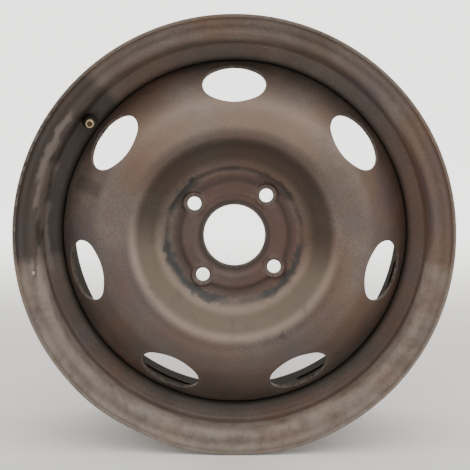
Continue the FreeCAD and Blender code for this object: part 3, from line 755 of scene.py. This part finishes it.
def disc_corners(sizes):
    """The disc's middle line, as (y, radius, bend) corners from the bore to the skirt's end."""
    pad, crown = -sizes.pad_y, -sizes.pad_y - sizes.crown_height
    skirt = sizes.skirt_radius
    return [
        (pad, sizes.bore, 0),
        (pad, 38 * MM, 4 * MM),
        (pad - sizes.ridge, 42.5 * MM, 4 * MM),
        (pad - sizes.ridge, 49.5 * MM, 4 * MM),
        (pad, 54.5 * MM, 4 * MM),
        (pad, sizes.pad_corner, 5.8 * MM),
        (crown - 1.2 * MM, sizes.crown_radius, sizes.crown_bend),
        (crown + 2.4 * MM, skirt - 41.2 * MM, 32 * MM),
        (crown + SLOPE_DEPTH, skirt - SLOPE_INSET, 60 * MM),
        (crown + 41 * MM, skirt, 8 * MM),
        (crown + 63 * MM, skirt, 0),
    ]


def sector_border(columns, rows):
    """Steps round a sector's border, as (column share, row share) from -1 to 1 and 0 to 1."""
    across = np.linspace(-1, 1, columns + 1)
    up = np.linspace(0, 1, rows + 1)
    return np.array(
        [(c, 0) for c in across[:-1]] + [(1, u) for u in up[:-1]]
        + [(c, 1) for c in across[:0:-1]] + [(-1, u) for u in up[:0:-1]])


class Vent:
    """One vent's oval outline, seen square to the punch, and its place on the sheet."""

    def __init__(self, sheet, disc, openings):
        self.sheet, self.openings = sheet, openings
        a, b, r = openings.vent_length / 2, openings.vent_width / 2, openings.vent_end
        self.side = ((a - r) ** 2 + b ** 2 - r ** 2) / (2 * (b - r))
        self.meet = math.atan2(self.side - b, a - r)
        across = openings.vent_radius - (disc.skirt_radius - SLOPE_INSET)
        crown = -disc.pad_y - disc.crown_height
        self.y = crown + SLOPE_DEPTH - disc.sheet / 2 + across * math.tan(openings.vent_tilt)

    def outline(self, grown):
        """Points round the oval, grown outwards by a distance, and their bearings."""
        a, b, r = (getattr(self.openings, n) for n in ("vent_length", "vent_width", "vent_end"))
        ends = np.linspace(-self.meet, self.meet, 120)
        sides = np.linspace(self.meet, math.pi - self.meet, 120)[1:-1]
        end_x = a / 2 - r + (r + grown) * np.cos(ends)
        end_v = (r + grown) * np.sin(ends)
        side_x = (self.side + grown) * np.cos(sides)
        side_v = b / 2 - self.side + (self.side + grown) * np.sin(sides)
        x = np.concatenate([end_x, side_x, -end_x, -side_x])
        v = np.concatenate([end_v, side_v, -end_v, -side_v])
        return x, v, np.unwrap(np.arctan2(v / b, x / a))

    def ring(self, bearings, grown, offset):
        """(angle, length, offset) of points on the outline in these directions."""
        x, v, turn = self.outline(grown)
        turns = (bearings - turn[0]) % (2 * math.pi) + turn[0]
        x = np.interp(turns, turn, x, period=2 * math.pi)
        v = np.interp(turns, turn, v, period=2 * math.pi)
        tilt, radius = self.openings.vent_tilt, self.openings.vent_radius
        lengths = np.linspace(self.sheet.length_at(110 * MM), self.sheet.total - 12 * MM, 900)
        y, away = self.sheet.at(lengths, offset).T
        found = []
        for px, pv in zip(x, v):
            up = np.sqrt(away ** 2 - px ** 2) - radius
            slant = up * math.cos(tilt) + (y - self.y) * math.sin(tilt)
            found.append(np.interp(pv, slant, lengths))
        found = np.array(found)
        return np.arcsin(x / self.sheet.at(found, offset)[:, 1]), found


class WHEEL_OT_disc(Operator):
    """Presses the disc: hub pad with its ridge and bosses, bowl, crown, vents and skirt"""
    bl_idname = "wheel.disc"
    bl_label = "Disc"

    def execute(self, context):
        scene = context.scene
        self.disc, self.openings = scene.wheel_disc, scene.wheel_openings
        self.sheet = Sheet(disc_corners(self.disc), self.disc.sheet)
        self.half, self.edge = self.disc.sheet / 2, self.disc.edge
        self.skin = Skin()
        pad_in, pad_out = map(self.sheet.length_at, PAD_PATCH)
        vents_in, vents_out = map(self.sheet.length_at, VENT_PATCH)
        self.add_rolled_edge(pad_in, 0.0)
        for quarter in range(BOLT_COUNT):
            self.add_bolt(FIRST_BOLT_ANGLE + quarter * math.pi / 2, pad_in, pad_out)
        self.add_band(pad_out, vents_in)
        vent = Vent(self.sheet, self.disc, self.openings)
        for i in range(VENT_COUNT):
            self.add_vent(vent, i * 2 * math.pi / VENT_COUNT, vents_in, vents_out)
        self.add_rolled_edge(vents_out, self.sheet.total)
        piece = self.skin.build("wheel_disc_pressing", disc_finish(scene.wheel_finishes))
        bridges = [f"disc_bridge_{i + 1}" for i in range(VENT_COUNT)]
        as_piece(piece, "disc_steel", "hub_pad", "disc_bowl", "disc_crown", "disc_skirt", *bridges)
        return {"FINISHED"}

    def add_band(self, start, stop):
        """Both faces of the sheet between two lengths."""
        lengths = np.linspace(start, stop, max(2, round((stop - start) / BOWL_STEP)) + 1)
        for offset in (self.half, -self.half):
            self.skin.add(turned_grid(self.sheet.at(lengths, offset), DISC_COLUMNS), 0.0, False, True)

    def add_rolled_edge(self, start, end):
        """Both faces from a length to the sheet's end, and its rounded edge."""
        towards = math.copysign(1, end - start)
        count = max(4, round(abs(end - start) / END_STEP))
        lengths = np.linspace(start, end - towards * self.edge, count)
        place = self.sheet.at(end, 0.0)
        side = self.sheet.at(end, 1.0) - place
        out = self.sheet.at(lengths, self.half)
        back = self.sheet.at(lengths, -self.half)[::-1]
        if towards > 0:
            cap = rounded_end(place, side, self.half, self.edge)
        else:
            cap = rounded_end(place, -side, self.half, self.edge)[::-1]
        outline = np.concatenate([out[:-1], cap, back[1:]])
        wear = np.zeros(len(outline))
        wear[len(out) - 1:len(out) - 1 + END_POINTS] = 1.0
        self.skin.add(turned_grid(outline, DISC_COLUMNS), wear[:, None], False, True)

    def add_vent(self, vent, middle, start, stop):
        """One vent's sector: both faces, and the punched edge with its rounded corners."""
        border = sector_border(DISC_COLUMNS // VENT_COUNT, VENT_ROWS)
        angles = border[:, 0] * math.pi / VENT_COUNT
        lengths = start + border[:, 1] * (stop - start)
        centre = self.sheet.length_at(self.openings.vent_radius)
        bearings = np.arctan2((lengths - centre) / self.openings.vent_width,
                              angles * self.openings.vent_radius / self.openings.vent_length)
        rings, wear = [], []
        turns = np.radians([0, 30, 60, 90])
        for face in (1, -1):
            half_rings, half_wear = [], []
            edge_angles, edge_lengths = vent.ring(bearings, self.edge, face * self.half)
            for share in np.linspace(0, 1, 9):
                eased = 1 - (1 - share) ** 1.5
                at = angles + (edge_angles - angles) * eased
                along = lengths + (edge_lengths - lengths) * eased
                half_rings.append((at, self.sheet.at(along, face * self.half)))
                half_wear.append(max(0.0, share * 4 - 3) * 0.6)
            for turn in turns[1:]:
                grown = self.edge * (1 - math.sin(turn))
                offset = face * (self.half - self.edge * (1 - math.cos(turn)))
                at, along = vent.ring(bearings, grown, offset)
                half_rings.append((at, self.sheet.at(along, offset)))
                half_wear.append(1.0)
            rings += half_rings if face > 0 else half_rings[::-1]
            wear += half_wear if face > 0 else half_wear[::-1]
        grid = np.array([on_wheel(place, middle + at) for at, place in rings])
        self.skin.add(grid, np.array(wear)[:, None], False, True)

    def add_bolt(self, middle, start, stop):
        """One quarter of the hub pad: its bolt hole, coned seat, boss and the dish behind."""
        border = sector_border(DISC_COLUMNS // BOLT_COUNT, PAD_ROWS)
        lengths = start + border[:, 1] * (stop - start)
        angles = border[:, 0] * math.pi / BOLT_COUNT
        radius = self.sheet.at(lengths, 0.0)[:, 1]
        circle = self.openings.bolt_circle
        border = np.stack([radius * np.sin(angles), radius * np.cos(angles) - circle], -1)
        bearing = np.unwrap(np.arctan2(border[:, 0], border[:, 1]))
        once = math.copysign(2 * math.pi, bearing[-1] - bearing[0])
        even = bearing[0] + np.linspace(0, once, len(bearing), endpoint=False)
        bearing = (bearing + even) / 2
        around = np.stack([np.sin(bearing), np.cos(bearing)], -1)
        near = around * SEAT_RINGS[0] * MM
        blend = [near + (border - near) * share for share in np.linspace(1, 0, 9)[:-1]]
        rings, wear = [], []
        for face, steps in ((1, SEAT_RINGS), (-1, DISH_RINGS)):
            half = []
            for flat in blend + [around * step * MM for step in steps]:
                across, up = flat[:, 0], circle + flat[:, 1]
                away, distance = np.hypot(across, up), np.hypot(*flat.T)
                y = self.front_height(away, distance) if face > 0 else self.back_height(away, distance)
                half.append(np.stack([across, y, up], -1))
            worn = [0.0] * len(blend) + [1.0 if step < 9.2 else 0.3 for step in steps]
            rings += half if face > 0 else half[::-1]
            wear += worn if face > 0 else worn[::-1]
        grid = np.array(rings)
        turn = np.array(Matrix.Rotation(middle, 3, "Y"))
        self.skin.add(grid @ turn.T, np.array(wear)[:, None], False, True)

    def surface_height(self, away, offset):
        """y of one face of the pad at these radii."""
        y, radius = self.sheet.at(np.linspace(0, 60 * MM, 1200), offset).T
        return np.interp(away, radius, y)

    def front_height(self, away, distance):
        """y of the pad's outboard face, with a boss and its coned seat."""
        op = self.openings
        face = -self.disc.pad_y - self.half
        top = face - op.boss_height
        foot = face + 1.3 * MM
        flank = foot + (top - foot) * (op.boss_base - distance) / (op.boss_base - op.boss_top)
        boss = np.maximum(flank, top)
        height = smooth_low(self.surface_height(away, self.half), boss, 1.8 * MM)
        height = np.where(distance > 12.5 * MM, self.surface_height(away, self.half), height)
        seat = top + (op.bolt_seat - distance) / math.tan(math.radians(30))
        lip = 0.15 * MM * np.exp(-((distance - op.bolt_seat) / (0.5 * MM)) ** 2)
        return np.where(distance < op.bolt_seat, np.maximum(height, seat), height) + lip

    def back_height(self, away, distance):
        """y of the pad's inboard face, with the dish behind a bolt hole."""
        op = self.openings
        back = -self.disc.pad_y + self.half
        root = back - self.disc.sheet + 1.3 * MM
        plain = self.surface_height(away, -self.half)
        filled = np.where(distance < op.boss_base - 0.6 * MM, np.maximum(plain, root), plain)
        rise = np.clip((distance - op.dish) / (2.9 * MM), 0, 1)
        dish = back - op.dish_depth + (op.dish_depth + MM) * rise
        return np.where(distance < 12 * MM, np.minimum(filled, dish), filled)


class WHEEL_OT_welds(Operator):
    """Lays the rippled fillet welds that hold the disc's skirt in the rim"""
    bl_idname = "wheel.welds"
    bl_label = "Welds"

    def execute(self, context):
        low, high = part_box("disc_weld_beads")
        leg = high.y - low.y
        outer = high.x
        skin = Skin()
        turns = np.radians(np.linspace(0, 90, 9))
        steps = np.linspace(-1, 1, 261)
        reach = math.radians(WELD_REACH)
        for quarter in range(BOLT_COUNT):
            middle = FIRST_BOLT_ANGLE + quarter * math.pi / 2
            rows = []
            for step in steps:
                bearing = middle + step * reach
                taper = math.sqrt(max(0.0, 1 - abs(step) ** 40)) * 0.9 + 0.1
                ripple = 1 - 0.07 * (1 - abs(math.sin(bearing * outer / WELD_RIPPLE * math.pi / 2)))
                size = leg * taper * ripple
                back, down = size * np.sin(turns) ** 0.9, size * np.cos(turns) ** 0.9
                loop = np.vstack([np.stack([low.y + back, outer - down], -1), (low.y, outer)])
                rows.append(on_wheel(loop, np.full(len(loop), bearing)))
            grid = np.array(rows)
            skin.add(grid, 0.0, False, True)
            for end in (grid[0], grid[-1]):
                spot = end.mean(0)
                skin.add(np.stack([end, np.broadcast_to(spot, end.shape)]), 0.0, False, True)
        piece = skin.build("disc_weld_ripples", weld_finish(context.scene.wheel_finishes))
        as_piece(piece, "weld_steel", "disc_weld_beads")
        return {"FINISHED"}


def at_the_valve(sizes):
    """The turn and shift that carry a piece turned about -Y at the origin to the valve."""
    place = Matrix.Translation((0, -sizes.seat_y, sizes.seat_radius))
    return Matrix.Rotation(VALVE_ANGLE, 4, "Y") @ place @ Matrix.Rotation(sizes.tilt, 4, "X")


def turned_valve_piece(outline, radius_at=None):
    """An outline of (length, radius) turned about the valve's axis; radius_at may shape each turn."""
    angles = np.arange(VALVE_COLUMNS) * 2 * math.pi / VALVE_COLUMNS
    u, radius = np.array(outline).T
    radius = np.broadcast_to(radius[:, None], (len(u), VALVE_COLUMNS)).copy()
    if radius_at:
        radius = radius_at(u[:, None], radius, angles[None, :])
    back = np.broadcast_to(-u[:, None], radius.shape)
    return np.stack([radius * np.cos(angles), back, radius * np.sin(angles)], -1)


class WHEEL_OT_valve_rubber(Operator):
    """Moulds the rubber body of the snap-in valve"""
    bl_idname = "wheel.valve_rubber"
    bl_label = "Valve Rubber"

    def execute(self, context):
        sizes, rim = context.scene.wheel_valve, context.scene.wheel_rim
        half = rim.sheet / 2
        bore = sizes.stem - SHANK_INSET
        end = half + sizes.rubber_length
        corners = [
            (-half - sizes.head_length, bore, 0),
            (-half - sizes.head_length, sizes.head - 0.6 * MM, 1.2 * MM),
            (-half - 0.15 * MM, sizes.head, 0.6 * MM),
            (-half - 0.15 * MM, sizes.hole, 0.2 * MM),
            (half + 0.15 * MM, sizes.hole, 0.2 * MM),
            (half + 0.15 * MM, sizes.bulge, 0.5 * MM),
            (half + 5.0 * MM, sizes.bulge - 0.3 * MM, 2.0 * MM),
            (half + 8.6 * MM, sizes.tip + 0.6 * MM, 3.0 * MM),
            (end, sizes.tip, 0.8 * MM),
            (end, bore, 0),
        ]
        outline, _ = bent_line(corners, 0.7 * MM, math.radians(15))
        skin = Skin()
        skin.add(turned_valve_piece(outline), 0.0, True, True)
        piece = skin.build("valve_rubber_moulding", rubber_finish(context.scene.wheel_finishes))
        piece.data.transform(at_the_valve(sizes))
        as_piece(piece, "valve_rubber", "valve_rubber")
        return {"FINISHED"}


class WHEEL_OT_valve_stem(Operator):
    """Turns the brass stem and cuts the thread for its cap"""
    bl_idname = "wheel.valve_stem"
    bl_label = "Valve Stem"

    def execute(self, context):
        sizes, rim = context.scene.wheel_valve, context.scene.wheel_rim
        back = -rim.sheet / 2 - sizes.head_length
        shank_end = rim.sheet / 2 + sizes.rubber_length
        tip = sizes.stem_length
        shank = sizes.stem - SHANK_INSET
        passage = 1.95 * MM
        seat_top = tip - sizes.chamber_depth
        thread = np.arange(shank_end, tip - 0.5 * MM, sizes.pitch / 9)
        outline = [(back, passage), (back, shank), (shank_end - 0.2 * MM, shank)]
        outline += [(u, sizes.stem) for u in thread]
        outline += [
            (tip - 0.5 * MM, sizes.stem - 0.05 * MM),
            (tip - 0.1 * MM, sizes.stem - 0.45 * MM),
            (tip, sizes.stem - 0.6 * MM),
            (tip, sizes.chamber + 0.3 * MM),
            (tip - 0.12 * MM, sizes.chamber + 0.12 * MM),
            (tip - 0.4 * MM, sizes.chamber),
            (seat_top, sizes.chamber),
            (seat_top - 1.6 * MM, passage),
        ]

        def cut_thread(u, radius, angles):
            phase = (u / sizes.pitch - angles / (2 * math.pi)) % 1.0
            groove = np.clip(1.25 - np.abs(phase - 0.5) * 3.4, 0, 1)
            fade = np.clip((tip - 0.6 * MM - u) / (0.8 * MM), 0, 1)
            on_thread = np.zeros_like(radius)
            on_thread[3:3 + len(thread)] = 1.0
            self.grooves = groove * on_thread * fade
            return radius - THREAD_DEPTH * self.grooves

        grid = turned_valve_piece(outline, cut_thread)
        skin = Skin()
        skin.add(grid, self.grooves, True, True)
        finishes = context.scene.wheel_finishes
        piece = skin.build("valve_stem_threaded", brass_finish(finishes, "Turned_Brass", 0.4, 0.0))
        piece.data.transform(at_the_valve(sizes))
        as_piece(piece, "valve_brass", "valve_stem")
        return {"FINISHED"}


class WHEEL_OT_valve_core(Operator):
    """Gives the parts of the valve core their finishes"""
    bl_idname = "wheel.valve_core"
    bl_label = "Valve Core"

    def execute(self, context):
        finishes = context.scene.wheel_finishes
        # The core's brass is browned nearly all over: painted shade for the core down in the stem's mouth.
        core = brass_finish(finishes, "Free_Cutting_Core_Brass", 0.45, 0.9)
        coats = {
            "valve_core_plug": core,
            "valve_core_barrel": core,
            "valve_core_pin": core,
            "valve_core_cup": core,
            "valve_core_gasket": gasket_finish(finishes),
            "valve_core_spring": spring_finish(finishes),
        }
        for name, coat in coats.items():
            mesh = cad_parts[name].data
            mesh.materials.clear()
            mesh.materials.append(coat)
        return {"FINISHED"}


def stage_sheet(name, profile, material):
    """A wide sheet of the stage along a profile of (y, z) points."""
    corners = [(x, y, z) for y, z in profile for x in (-SWEEP_HALF_WIDTH, SWEEP_HALF_WIDTH)]
    faces = [(2 * i, 2 * i + 1, 2 * i + 3, 2 * i + 2) for i in range(len(profile) - 1)]
    mesh = bpy.data.meshes.new(name)
    mesh.from_pydata(corners, [], faces)
    mesh.shade_smooth()
    mesh.materials.append(material)
    place_object(name, mesh)


def stage_finish(tint, floor_z, glow):
    """Matt studio paper: even and pale, lit from behind more and more strongly above the floor."""
    material, tree, output = new_material("Matt_Studio_Paper")
    place = add_node(tree, "ShaderNodeTexCoord").outputs["Object"]
    height = add_node(tree, "ShaderNodeSeparateXYZ", [place])
    light = add_node(tree, "ShaderNodeMapRange", {
        "Value": height.outputs["Z"], "From Min": floor_z, "From Max": floor_z + 0.12,
        "To Min": 0.05, "To Max": glow}, interpolation_type="SMOOTHSTEP")
    grain = add_node(tree, "ShaderNodeTexNoise", {"Scale": 40.0, "Detail": 2.0})
    bump = add_node(tree, "ShaderNodeBump", {"Height": grain.outputs["Fac"], "Distance": 0.2 * MM})
    shader = add_node(tree, "ShaderNodeBsdfPrincipled", {
        "Base Color": tint, "Roughness": 0.9, "Emission Color": tint, "Emission Strength": light.outputs[0],
        "Normal": bump.outputs[0]})
    tree.links.new(shader.outputs[0], output.inputs[0])
    return material


def area_light(name, place, width, depth, power):
    """A rectangular soft light that looks at the wheel."""
    data = bpy.data.lights.new(name, "AREA")
    data.shape = "RECTANGLE"
    data.size, data.size_y = width, depth
    data.energy = power
    lamp = place_object(name, data)
    lamp.location = place
    lamp.rotation_euler = (-Vector(place)).to_track_quat("-Z", "Y").to_euler()


class WHEEL_OT_stage(Operator):
    """Sets the pale paper sweep, the soft lights and the camera"""
    bl_idname = "wheel.stage"
    bl_label = "Stage"

    def execute(self, context):
        stage = context.scene.wheel_stage
        paper = list(context.scene.wheel_finishes.paper)
        floor_z = CAD_BOX[0][2]
        turns = np.linspace(0, math.pi / 2, 49)
        sweep = [(SWEEP_FOOT + SWEEP_RADIUS * math.sin(t), floor_z + SWEEP_RADIUS * (1 - math.cos(t)))
                 for t in turns]
        profile = [(SWEEP_NEAR, floor_z), *sweep, (sweep[-1][0], SWEEP_TOP)]
        stage_sheet("stage_sweep", profile, stage_finish(paper, floor_z, stage.paper_glow))
        for name, (place, width, depth, power) in LIGHTS.items():
            area_light(name, place, width, depth, getattr(stage, power))
        world = bpy.data.worlds.new("Studio")
        world.use_nodes = True
        sky = world.node_tree.nodes["Background"].inputs
        sky["Color"].default_value = paper
        sky["Strength"].default_value = stage.sky
        context.scene.world = world
        data = bpy.data.cameras.new("wheel_camera")
        data.lens = stage.lens
        data.sensor_width = 36
        camera = place_object("wheel_camera", data)
        camera.location = stage.camera_place
        pitch, yaw = stage.camera_pitch, stage.camera_yaw
        level = math.cos(pitch)
        forward = Vector((math.sin(yaw) * level, math.cos(yaw) * level, -math.sin(pitch)))
        camera.rotation_euler = forward.to_track_quat("-Z", "Y").to_euler()
        context.scene.camera = camera
        return {"FINISHED"}


class WHEEL_PT_panel(Panel):
    """Lists the wheel's sizes, finishes and building steps"""
    bl_idname = "WHEEL_PT_panel"
    bl_label = "Steel Wheel"
    bl_space_type = "VIEW_3D"
    bl_region_type = "UI"
    bl_category = "Steel Wheel"

    def draw(self, context):
        for group in GROUPS:
            box = self.layout.box()
            settings = getattr(context.scene, group)
            for name in settings.__annotations__:
                box.prop(settings, name)
        for operator in OPERATORS:
            self.layout.operator(operator.bl_idname)


GROUPS = {
    "wheel_rim": RimSizes,
    "wheel_disc": DiscSizes,
    "wheel_openings": OpeningSizes,
    "wheel_valve": ValveSizes,
    "wheel_finishes": Finishes,
    "wheel_stage": StageSettings,
}
OPERATORS = (
    WHEEL_OT_rim, WHEEL_OT_disc, WHEEL_OT_welds, WHEEL_OT_valve_rubber, WHEEL_OT_valve_stem,
    WHEEL_OT_valve_core, WHEEL_OT_stage,
)


def register():
    for kind in (*GROUPS.values(), *OPERATORS, WHEEL_PT_panel):
        bpy.utils.register_class(kind)
    for name, group in GROUPS.items():
        setattr(bpy.types.Scene, name, PointerProperty(type=group))


def unregister():
    for name in GROUPS:
        delattr(bpy.types.Scene, name)
    for kind in (WHEEL_PT_panel, *reversed(OPERATORS), *reversed(list(GROUPS.values()))):
        bpy.utils.unregister_class(kind)


def main():
    register()
    bpy.ops.wheel.stage()
    bpy.ops.wheel.rim()
    bpy.ops.wheel.disc()
    bpy.ops.wheel.welds()
    bpy.ops.wheel.valve_rubber()
    bpy.ops.wheel.valve_stem()
    bpy.ops.wheel.valve_core()


if __name__ == "__main__":
    main()
